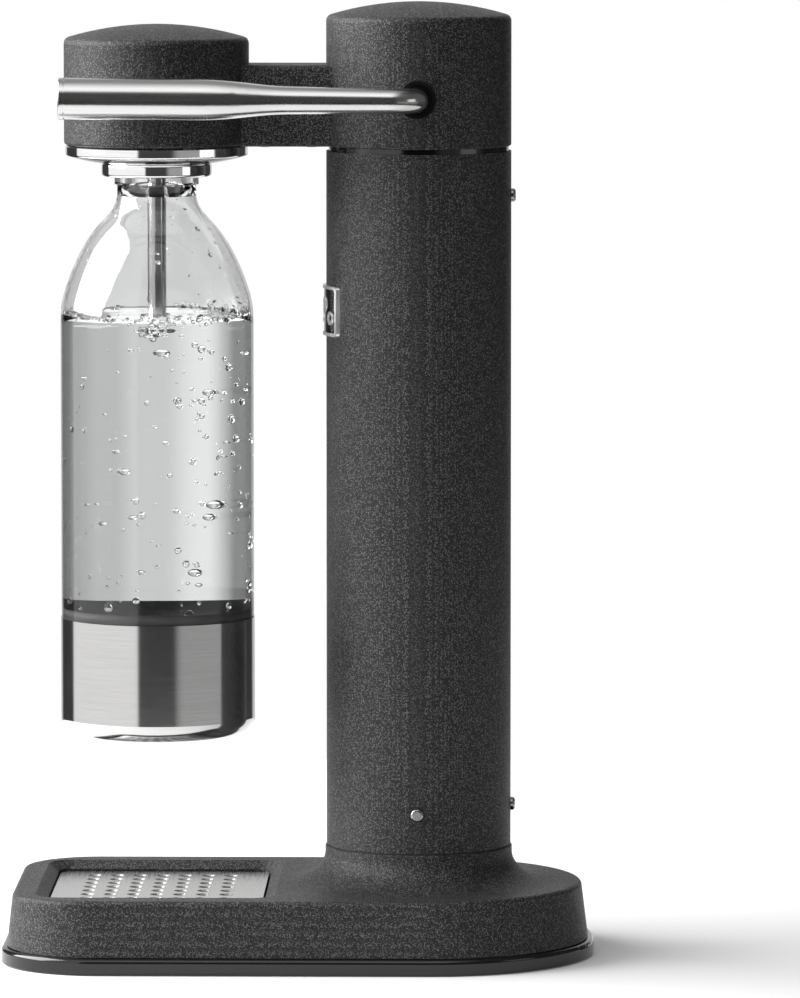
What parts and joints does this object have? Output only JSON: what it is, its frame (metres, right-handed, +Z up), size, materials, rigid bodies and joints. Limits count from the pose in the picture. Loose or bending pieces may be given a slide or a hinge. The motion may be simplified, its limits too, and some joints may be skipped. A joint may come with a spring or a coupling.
{
  "type": "soda carbonator",
  "caption": "Countertop soda carbonator: black column on an oval drip-tray base, cantilever head, side lever and clear bottle with a steel cup.",
  "frame": {"origin": "centre of the base's footprint, on the surface it stands on", "axes": "+Z up; -Y to the front, the bottle's side; +X to the lever's side"},
  "size_m": [0.153, 0.258, 0.4165],
  "materials": {
    "black_coat": "matte black sand-texture powder coat with fine grain",
    "black_gloss": "smooth glossy black",
    "black_plastic": "plain black plastic",
    "frame_plastic": "grey glass-filled nylon",
    "rubber": "soft black rubber",
    "steel": "polished stainless steel",
    "sheet_steel": "satin stainless sheet",
    "zinc_steel": "zinc plated steel",
    "chrome": "mirror chrome",
    "brass": "machined brass",
    "aluminium": "machined aluminium",
    "cylinder_coat": "grey painted gas cylinder",
    "clear_bottle": "clear bottle plastic"
  },
  "bodies": {
    "body": {"base_shell": "black_coat", "base_rim": "black_gloss", "bottom_plate": "black_plastic", "rubber_feet": "rubber", "bottom_screws": "zinc_steel", "column_tube": "black_coat", "foot_ring": "frame_plastic", "tie_rods": "zinc_steel", "cylinder_guide": "frame_plastic", "top_carrier": "frame_plastic", "neck_ring": "steel", "column_screws": "steel", "badge_frame": "chrome", "badge_field": "black_gloss", "badge_emblem": "chrome", "head_housing": "black_coat", "arm_cover": "black_plastic", "arm_cover_screws": "zinc_steel", "cap_bush": "black_gloss", "shaft_bracket": "zinc_steel", "shaft_bushes": "frame_plastic", "valve_block": "aluminium", "valve_block_screws": "zinc_steel", "cylinder_seal": "rubber", "plunger_spring": "steel", "gas_pipe": "steel", "pipe_nuts": "brass", "head_plate": "frame_plastic", "head_plate_screws": "zinc_steel", "splash_bell": "chrome", "bottle_collar": "chrome", "bottle_seal": "rubber", "nozzle_block": "aluminium", "carbonating_tube": "steel", "nozzle_tip": "steel", "relief_valve_body": "brass"},
    "lever_assembly": {"lever": "steel", "lever_end_cap": "steel", "lever_shaft": "steel", "shaft_clip": "zinc_steel", "cam": "zinc_steel", "cam_grub_screws": "zinc_steel"},
    "plunger_assembly": {"plunger": "steel"},
    "cylinder": {"gas_cylinder": "cylinder_coat", "cylinder_valve": "brass"},
    "cylinder_pin": {"valve_pin": "brass"},
    "bottle": {"bottle_body": "clear_bottle", "bottle_cup": "steel"},
    "grille": {"drip_grille": "sheet_steel"},
    "poppet": {"relief_poppet": "steel"}
  },
  "joints": [
    {"name": "lever_press", "type": "hinge", "parent": "body", "child": "lever_assembly", "pos_m": [0, 0.0522, 0.3754], "axis": [1, 0, 0], "range_deg": [0, 35], "stiffness_Nm_per_rad": 0.8, "springref_deg": -34.38},
    {"name": "plunger_push", "type": "slide", "parent": "body", "child": "plunger_assembly", "axis": [0, 0, -1], "range_m": [0, 0.0026], "deforming": ["plunger_spring"]},
    {"name": "cylinder_draw", "type": "slide", "parent": "body", "child": "cylinder", "axis": [0, 0, -1], "range_m": [0, 0.34]},
    {"name": "pin_push", "type": "slide", "parent": "cylinder", "child": "cylinder_pin", "axis": [0, 0, -1], "range_m": [0, 0.0026]},
    {"name": "bottle_lower", "type": "slide", "parent": "body", "child": "bottle", "axis": [0, 0, -1], "range_m": [0, 0.05]},
    {"name": "grille_lift", "type": "slide", "parent": "body", "child": "grille", "axis": [0, 0, 1], "range_m": [0, 0.018]},
    {"name": "relief_lift", "type": "slide", "parent": "body", "child": "poppet", "axis": [0, 0, 1], "range_m": [0, 0.0015], "stiffness_N_per_m": 400, "springref_m": -0.002}
  ],
  "couplings": [
    {"joint": "plunger_push", "follows": "lever_press", "m_per_rad": 0.0040926},
    {"joint": "pin_push", "follows": "lever_press", "m_per_rad": 0.0040926}
  ]
}
